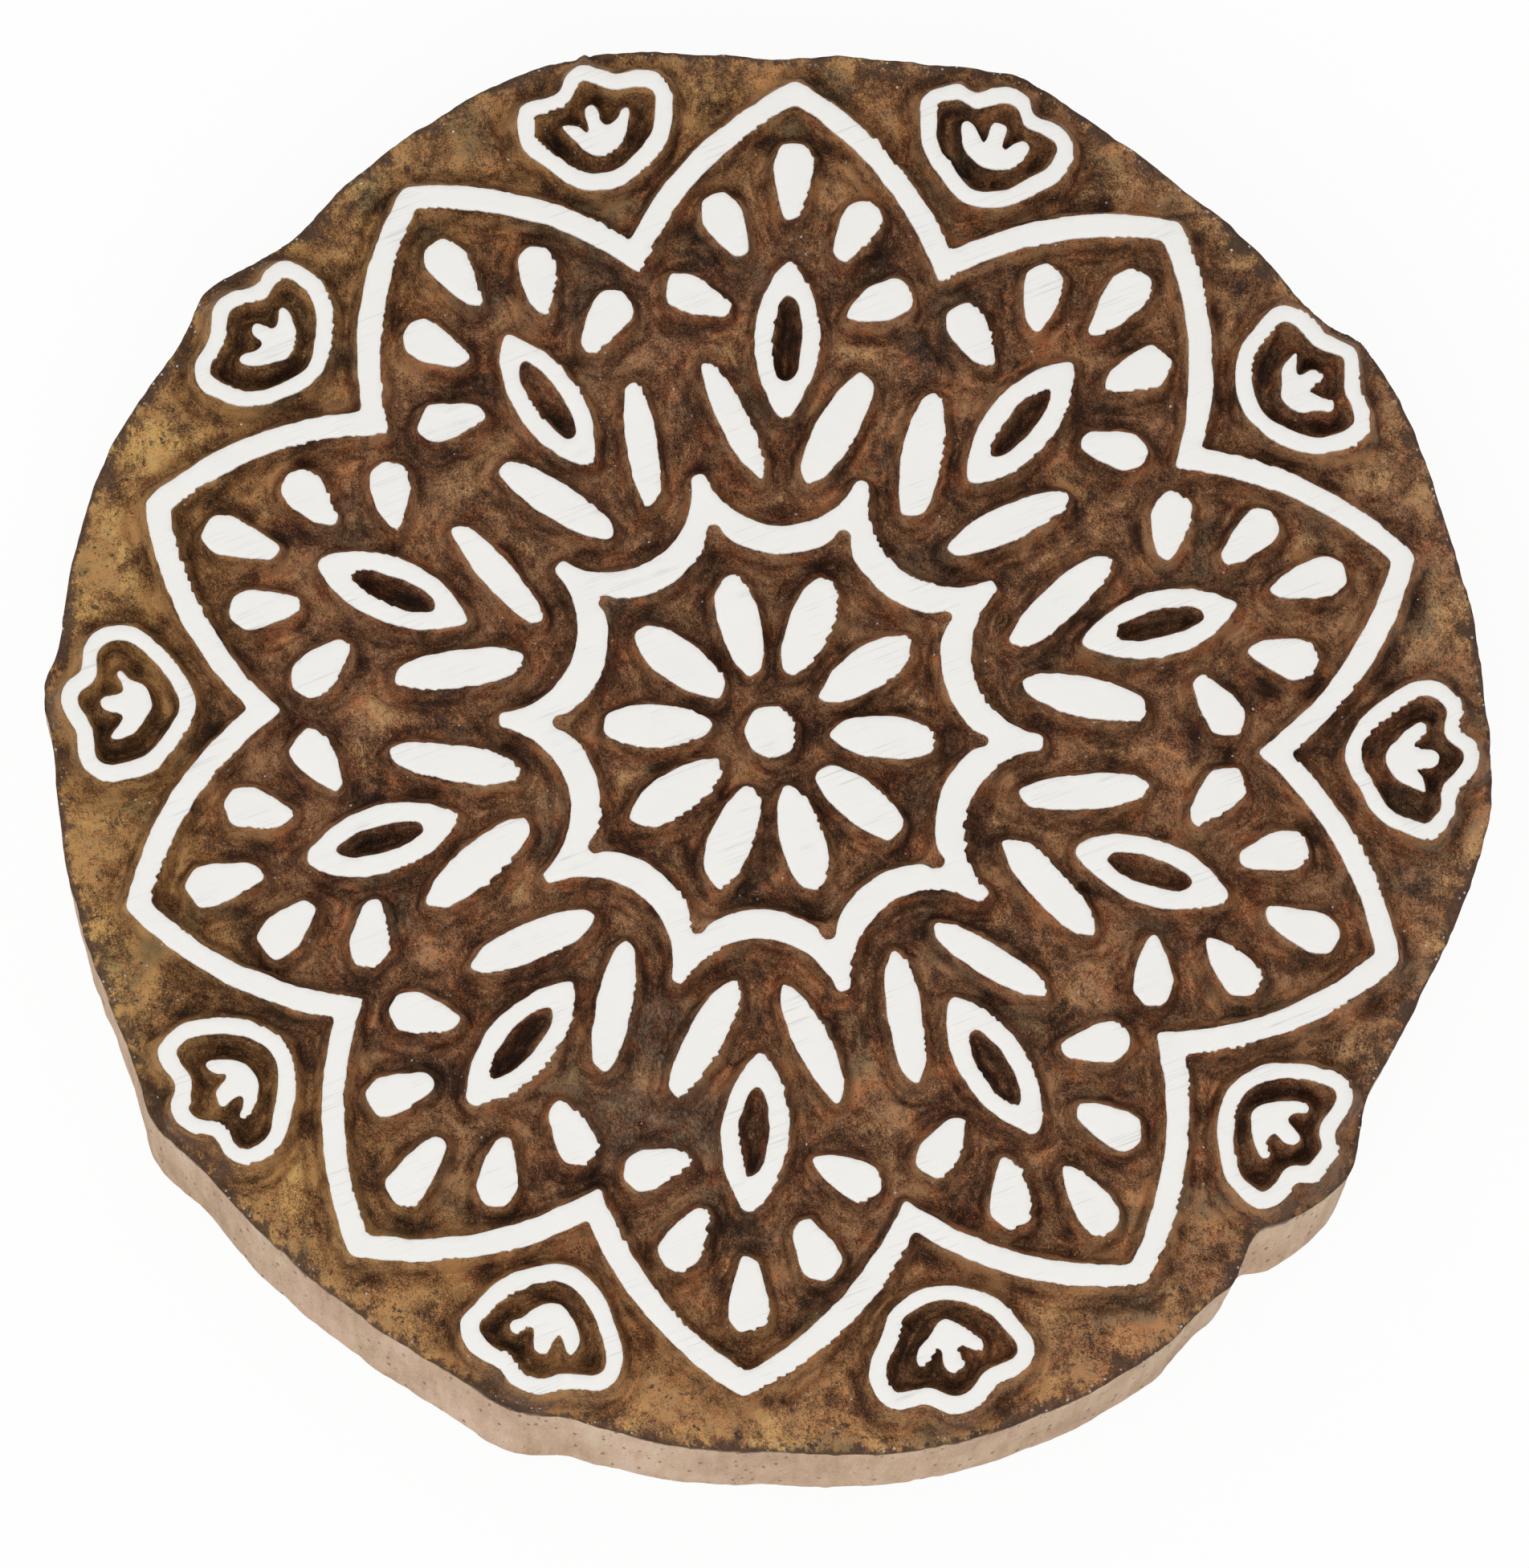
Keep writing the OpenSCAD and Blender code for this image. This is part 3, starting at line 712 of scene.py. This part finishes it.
def stained_face():
    """The carved face: brown stain on fibrous wood, with painted shade in narrow channels, in the pits and
    in the groove beside the lands, painted light on their walls, and golden at the rim.
    """
    s = Shader("stained_carved_wood")
    gap = s.attribute("land_gap")
    rim = s.attribute("rim_gap")
    # Painted shade that darkens the narrow channels between lands
    crowd_shade = s.attribute("crowd_shade")
    gold = s.attribute("gold")
    pale = s.attribute("pale")
    cloud = s.noise(4.5, 4, 0.6, twist=0.4)
    # Random swing of the painted shade in the groove beside the lands
    shade_pool = s.noise(2.2, 3, 0.6)
    mottle = s.noise(1.1, 5, 0.65, twist=0.3)
    fibre = s.noise(0.32, 4, 0.7, stretch=(0.7, 1.3, 1), turn=70, twist=0.2)
    fuzz = s.noise(0.13, 3, 0.75)
    open_ground = s.span(s.add((gap, 1), (s.swing(cloud), 2.0)), 0.7, 2.4)
    # Painted shade in the groove about a millimetre out from the lands, with a random swing
    valley = s.math("MULTIPLY", s.span(gap, 0.3, 0.8), s.span(gap, 1.8, 1.1))
    # Painted light on the steep walls next to the lands, which are lightened
    # Painted shade darkens the enclosed pits, and painted light lifts the shallow inner cusps
    tone = s.add(
        (0.57, 1), (s.span(gap, 0.8, 0.2), 0.12), (s.attribute("shade_pool"), -0.25),
        (s.span(crowd_shade, 0.38, 0.55), -0.17), (valley, -0.03), (s.math("MULTIPLY", gold, open_ground), 0.06),
        (s.math("MULTIPLY", valley, s.swing(shade_pool)), -2.8),
        (pale, 0.13), (s.math("MULTIPLY", pale, open_ground), 0.07),
        (s.swing(mottle), 1.5), (s.swing(fibre), 1.2), (s.swing(fuzz), 2.8), (s.swing(cloud), 2.4),
    )
    color = s.ramp(tone, (
        (0.0, (0.028, 0.011, 0.005)),
        (0.25, (0.085, 0.036, 0.016)),
        (0.5, (0.165, 0.073, 0.034)),
        (0.75, (0.280, 0.134, 0.062)),
        (1.0, (0.450, 0.240, 0.115)),
    ))
    shade = s.mix(s.span(s.noise(0.5, 4, 0.65), 0.40, 0.60), (0.96, 1.015, 1.04), (1.05, 0.97, 0.93))
    color = s.mix(1.0, color, shade, "MULTIPLY")
    tan = s.math("MULTIPLY", s.span(s.noise(5.2, 4, 0.55), 0.47, 0.64), open_ground)
    plain = s.math("SUBTRACT", 1.0, s.math("MAXIMUM", tan, gold))
    warm = s.math("MULTIPLY", s.span(s.noise(2.6, 4, 0.6), 0.46, 0.66), plain)
    color = s.mix(warm, color, (1.20, 0.93, 0.80), "MULTIPLY")
    color = s.mix(tan, color, (1.32, 1.46, 1.37), "MULTIPLY")
    soot = s.span(s.noise(6.3, 4, 0.6), 0.53, 0.68)
    color = s.mix(soot, color, (0.58, 0.68, 0.78), "MULTIPLY")
    color = s.mix(gold, color, (1.12, 1.16, 0.88), "MULTIPLY")
    spot, strength = s.specks(0.5, 0.30)
    cluster = s.span(s.noise(3.2, 3, 0.6, stretch=(0.5, 1.6, 1), turn=8, twist=1.2), 0.47, 0.60)
    pores = s.math("MULTIPLY", s.math("MULTIPLY", spot, s.span(strength, 0.3, 0.55)), cluster)
    color = s.mix(s.math("MULTIPLY", pores, 0.75), color, (0.040, 0.024, 0.016))
    flecks = s.span(s.noise(0.6, 4, 0.65), 0.55, 0.60)
    flecks = s.math("MULTIPLY", s.math("MULTIPLY", flecks, cluster), s.add((0.5, 1), (pale, 0.5)))
    flecks = s.math("MULTIPLY", s.math("MULTIPLY", flecks, open_ground), 0.9)
    color = s.mix(flecks, color, (0.032, 0.024, 0.020))
    crust = s.math("MULTIPLY", s.attribute("crust"), s.span(s.add((mottle, 0.5), (cloud, 0.5)), 0.40, 0.56))
    dye = s.ramp(s.add((fibre, 0.7), (mottle, 0.3)), (
        (0.36, (0.030, 0.024, 0.020)),
        (0.50, (0.088, 0.063, 0.044)),
        (0.64, (0.290, 0.220, 0.145)),
    ))
    color = s.mix(s.math("MULTIPLY", crust, 0.75), color, dye)
    torn = s.math("MULTIPLY", s.span(rim, 2.2, 0.4), s.span(gap, 1.7, 0.5))
    color = s.mix(s.math("MULTIPLY", torn, s.span(fibre, 0.4, 0.6)), color, (0.240, 0.105, 0.040))
    blotch = s.add((rim, 1), (s.swing(cloud), 5.0), (s.swing(mottle), 3.5), (s.swing(fibre), 2.0))
    color = s.mix(s.span(blotch, 1.0, 0.2, 0.0, 0.7), color, (0.080, 0.046, 0.030))
    arris = s.span(s.add((rim, 1), (s.swing(mottle), 2.0), (s.swing(fibre), 1.2)), 0.5, 0.0)
    color = s.mix(s.math("MULTIPLY", arris, 0.5), color, (0.075, 0.042, 0.028))
    spot, strength = s.specks(1.5, 0.09)
    dust = s.math("MULTIPLY", spot, s.span(strength, 0.62, 0.66))
    dust = s.math("MULTIPLY", dust, s.span(fuzz, 0.40, 0.52))
    color = s.mix(dust, color, (0.80, 0.78, 0.74))
    spot, strength = s.specks(0.6, 0.24)
    crumbs = s.math("MULTIPLY", spot, s.span(strength, 0.55, 0.6))
    crumbs = s.math("MULTIPLY", s.math("MULTIPLY", crumbs, s.span(rim, 1.2, 0.1)), 0.8)
    color = s.mix(crumbs, color, (0.60, 0.57, 0.54))
    height = s.add((mottle, 0.5), (fibre, 0.8), (fuzz, 0.5), (pores, -0.2))
    rough = s.add((s.span(mottle, 0.3, 0.7, 0.60, 0.80), 1), (s.span(rim, 0.8, 0.2), 0.2))
    return s.finish(color, rough, height, 0.8, 0.3, 0.25)


def sawn_side():
    """The bare sawn side: pale pinkish wood with fine upright pores, and a little stain at the top."""
    s = Shader("bare_sawn_wood")
    drop = s.attribute("drop")
    cloud = s.noise(7, 4, 0.55, stretch=(1, 1, 0.4))
    grain = s.noise(1.3, 5, 0.6, stretch=(1, 1, 0.08), twist=0.2)
    fuzz = s.noise(0.22, 3, 0.7, stretch=(1, 1, 0.3))
    tone = s.add((0.5, 1), (s.swing(cloud), 1.0), (s.swing(grain), 1.0), (s.swing(fuzz), 0.8))
    color = s.ramp(tone, (
        (0.2, (0.440, 0.288, 0.186)),
        (0.5, (0.575, 0.407, 0.280)),
        (0.8, (0.680, 0.525, 0.395)),
    ))
    streak = s.span(s.noise(3.5, 3, 0.5, stretch=(1, 1, 0.12)), 0.42, 0.58)
    color = s.mix(1.0, color, s.mix(streak, (1.01, 1.0, 0.95), (1.03, 0.98, 0.97)), "MULTIPLY")
    spot, strength = s.specks(0.8, 0.27, (1, 1, 0.2))
    pores = s.math("MULTIPLY", spot, s.span(strength, 0.3, 0.7))
    spot, strength = s.specks(0.45, 0.24, (1, 1, 0.18))
    fine_pores = s.math("MULTIPLY", spot, s.span(strength, 0.5, 0.8))
    pores = s.math("MAXIMUM", pores, s.math("MULTIPLY", fine_pores, 0.6))
    color = s.mix(s.math("MULTIPLY", pores, 0.75), color, (0.20, 0.105, 0.060))
    stain = s.span(s.add((drop, 1), (s.swing(cloud), 1.6), (s.swing(grain), 2.0)), 0.9, 0.1)
    color = s.mix(s.math("MULTIPLY", stain, 0.85), color, (0.085, 0.048, 0.033))
    height = s.add((grain, 0.8), (fuzz, 0.3), (pores, -0.4))
    return s.finish(color, 0.78, height, 0.4, 0.25, 0.25)


def sawn_back():
    """The flat back: end grain with faint growth rings, pores and the marks of the saw."""
    s = Shader("bare_wood_back")
    cloud = s.noise(14, 4, 0.55)
    fuzz = s.noise(0.3, 3, 0.7)
    from_pith = s.node("ShaderNodeMapping", {"Vector": s.mm})
    from_pith.inputs["Location"].default_value = (34, -88, 0)
    rings = s.node(
        "ShaderNodeTexWave",
        {
            "Vector": from_pith.outputs["Vector"], "Scale": 0.07, "Distortion": 7.0, "Detail": 3.0,
            "Detail Scale": 0.04,
        },
        wave_type="RINGS", rings_direction="Z", wave_profile="SIN",
    ).outputs["Fac"]
    tone = s.add((0.5, 1), (s.swing(rings), 0.14), (s.swing(cloud), 1.0), (s.swing(fuzz), 0.6))
    color = s.ramp(tone, (
        (0.2, (0.330, 0.215, 0.140)),
        (0.5, (0.480, 0.345, 0.240)),
        (0.9, (0.600, 0.460, 0.345)),
    ))
    spot, strength = s.specks(0.7, 0.24)
    pores = s.math("MULTIPLY", spot, s.span(strength, 0.3, 0.7))
    color = s.mix(s.math("MULTIPLY", pores, 0.55), color, (0.15, 0.09, 0.06))
    saw = s.noise(1.4, 3, 0.5, stretch=(1.6, 0.03, 1), turn=-34)
    color = s.mix(s.span(saw, 0.35, 0.65, 0.0, 0.25), color, (0.30, 0.20, 0.135))
    height = s.add((saw, 1.0), (fuzz, 0.3), (pores, -0.4))
    return s.finish(color, 0.8, height, 0.45, 0.3, 0.25)


def chalk():
    """The white coat: chalky, sanded flat, with faint grey scratches and painted shade along its thin
    edges.
    """
    s = Shader("white_chalk_coat")
    edge = s.attribute("edge")
    cloud = s.noise(6, 4, 0.6)
    fine = s.noise(0.3, 4, 0.7)
    scratch = s.noise(0.45, 3, 0.6, stretch=(0.05, 2.6, 1), turn=-24)
    patch = s.span(s.noise(5, 3, 0.5), 0.46, 0.66)
    lines = s.math("MULTIPLY", s.span(scratch, 0.54, 0.70), patch)
    color = s.ramp(s.add((cloud, 0.6), (fine, 0.4)), (
        (0.2, (0.805, 0.790, 0.757)),
        (0.8, (0.868, 0.850, 0.815)),
    ))
    color = s.mix(s.math("MULTIPLY", lines, 0.55), color, (0.52, 0.52, 0.51))
    # Painted shade along the coat's rounded edge and side
    edge_shade = s.span(s.add((edge, 1), (s.swing(fine), 0.35)), 0.06, -0.04)
    color = s.mix(s.math("MULTIPLY", edge_shade, 0.5), color, (0.34, 0.25, 0.18))
    height = s.add((fine, 0.4), (lines, -0.6))
    return s.finish(color, 0.7, height, 0.25, 0.08, 0.3)


def white_floor():
    """A plain white floor that keeps a soft shadow, and reads as white to the camera."""
    s = Shader("studio_floor")
    path = s.node("ShaderNodeLightPath")
    seen = s.math("MAXIMUM", path.outputs["Is Camera Ray"], path.outputs["Is Glossy Ray"])
    seen = s.math("MAXIMUM", seen, path.outputs["Is Transmission Ray"])
    paint = s.node("ShaderNodeBsdfDiffuse", {"Color": (0.9, 0.9, 0.9, 1)})
    glow = s.node("ShaderNodeEmission", {"Color": (1, 1, 1, 1), "Strength": 1.0})
    mixed = s.node(
        "ShaderNodeMixShader", {0: s.math("MULTIPLY", seen, 0.92), 1: paint.outputs[0], 2: glow.outputs[0]}
    )
    s.node("ShaderNodeOutputMaterial", {"Surface": mixed.outputs[0]})
    return s.material


# The object

coats = [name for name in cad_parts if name.endswith("_coat") or "_coat_" in name]
coats.sort()
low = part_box(coats[0])[0].z / MM
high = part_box(coats[0])[1].z / MM
outlines = {}
for name in coats:
    kind = next((KINDS[start] for start in KINDS if name.startswith(start)), OTHER_KINDS)
    outlines[name] = [cut_by_knife(loop, *kind) for loop in flat_loops(name, high)]
rim_loop = max(flat_loops("block", 0), key=len)[::-1]
rim_line = eased(resampled(rounded(rim_loop), 0.15), 8)
rim_normal = outward(rim_line)
rim_x, rim_y = rim_line.T
rim_slip = 0.1 * noise(rim_x, rim_y, 2.2, 31) + 0.05 * noise(rim_x, rim_y, 0.7, 32)
rim_bearing = np.degrees(np.arctan2(rim_y, rim_x)) % 360
for bearing, reach in RIM_BREAKS:
    rim_slip = rim_slip + reach * np.exp(-((rim_bearing - bearing) / BREAK_WIDTH) ** 2)
rim_line = rim_line + rim_normal * rim_slip[:, None]

lands = Lines([loop for name in coats for loop in outlines[name]])
rim = Lines([rim_line])
pits = [min(outlines[name], key=np.ptp) for name in coats if name.startswith(("eye", "bud_outline"))]
ring_line = min(outlines["scalloped_ring_coat"], key=np.ptp)
shoal_r = np.hypot(*ring_line.T).max() - 0.7
shoal_turns = np.radians(FIRST_CUSP + CUSP_STEP * np.arange(round(360 / CUSP_STEP)))
shoals = shoal_r * np.c_[np.cos(shoal_turns), np.sin(shoal_turns)]
materials = [stained_face(), sawn_side(), sawn_back()]
block = carved_block(lands, pits, shoals, rim, low, low - RELIEF, materials)
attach(block, "root")
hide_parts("block")

white = chalk()
for name in coats:
    patch = chalk_patch("chalk_" + name, outlines[name], low, high, white)
    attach(patch, "root")
    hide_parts(name)

# The studio

floor_mesh = bpy.data.meshes.new("floor")
floor_mesh.from_pydata([(-3, -3, 0), (3, -3, 0), (3, 3, 0), (-3, 3, 0)], [], [(0, 1, 2, 3)])
floor_mesh.materials.append(white_floor())
floor = bpy.data.objects.new("floor", floor_mesh)
floor.location.z = -0.0002
bpy.context.scene.collection.objects.link(floor)

world = bpy.data.worlds.new("studio")
world.use_nodes = True
bpy.context.scene.world = world
background = world.node_tree.nodes["Background"]
background.inputs["Color"].default_value = (1, 1, 1, 1)
background.inputs["Strength"].default_value = 0.53


def softbox(name, place, size, power):
    """A square area light that points at the block."""
    data = bpy.data.lights.new(name, "AREA")
    data.shape = "SQUARE"
    data.size = size
    data.energy = power
    lamp = bpy.data.objects.new(name, data)
    lamp.location = place
    lamp.rotation_mode = "QUATERNION"
    lamp.rotation_quaternion = (Vector((0, 0, 0.02)) - Vector(place)).to_track_quat("-Z", "Y")
    bpy.context.scene.collection.objects.link(lamp)


softbox("key", (-0.1, -0.55, 1.0), 0.6, 5.2)
softbox("fill", (-0.15, 0.3, 1.05), 0.9, 2.4)

camera_data = bpy.data.cameras.new("camera")
camera_data.sensor_width = 36
camera_data.lens = LENS
camera_data.clip_start = 0.01
camera_data.clip_end = 20
camera = bpy.data.objects.new("camera", camera_data)
bpy.context.scene.collection.objects.link(camera)
back = Vector(TOWARD).normalized()
roll = math.radians(ROLL)
right = Vector((math.cos(roll), math.sin(roll), 0))
right = (right - right.dot(back) * back).normalized()
up = back.cross(right)
place = Vector(TARGET) * MM + back * DISTANCE * MM
camera.matrix_world = Matrix.Translation(place) @ Matrix((right, up, back)).transposed().to_4x4()
bpy.context.scene.camera = camera

bpy.context.scene.view_settings.view_transform = "Standard"
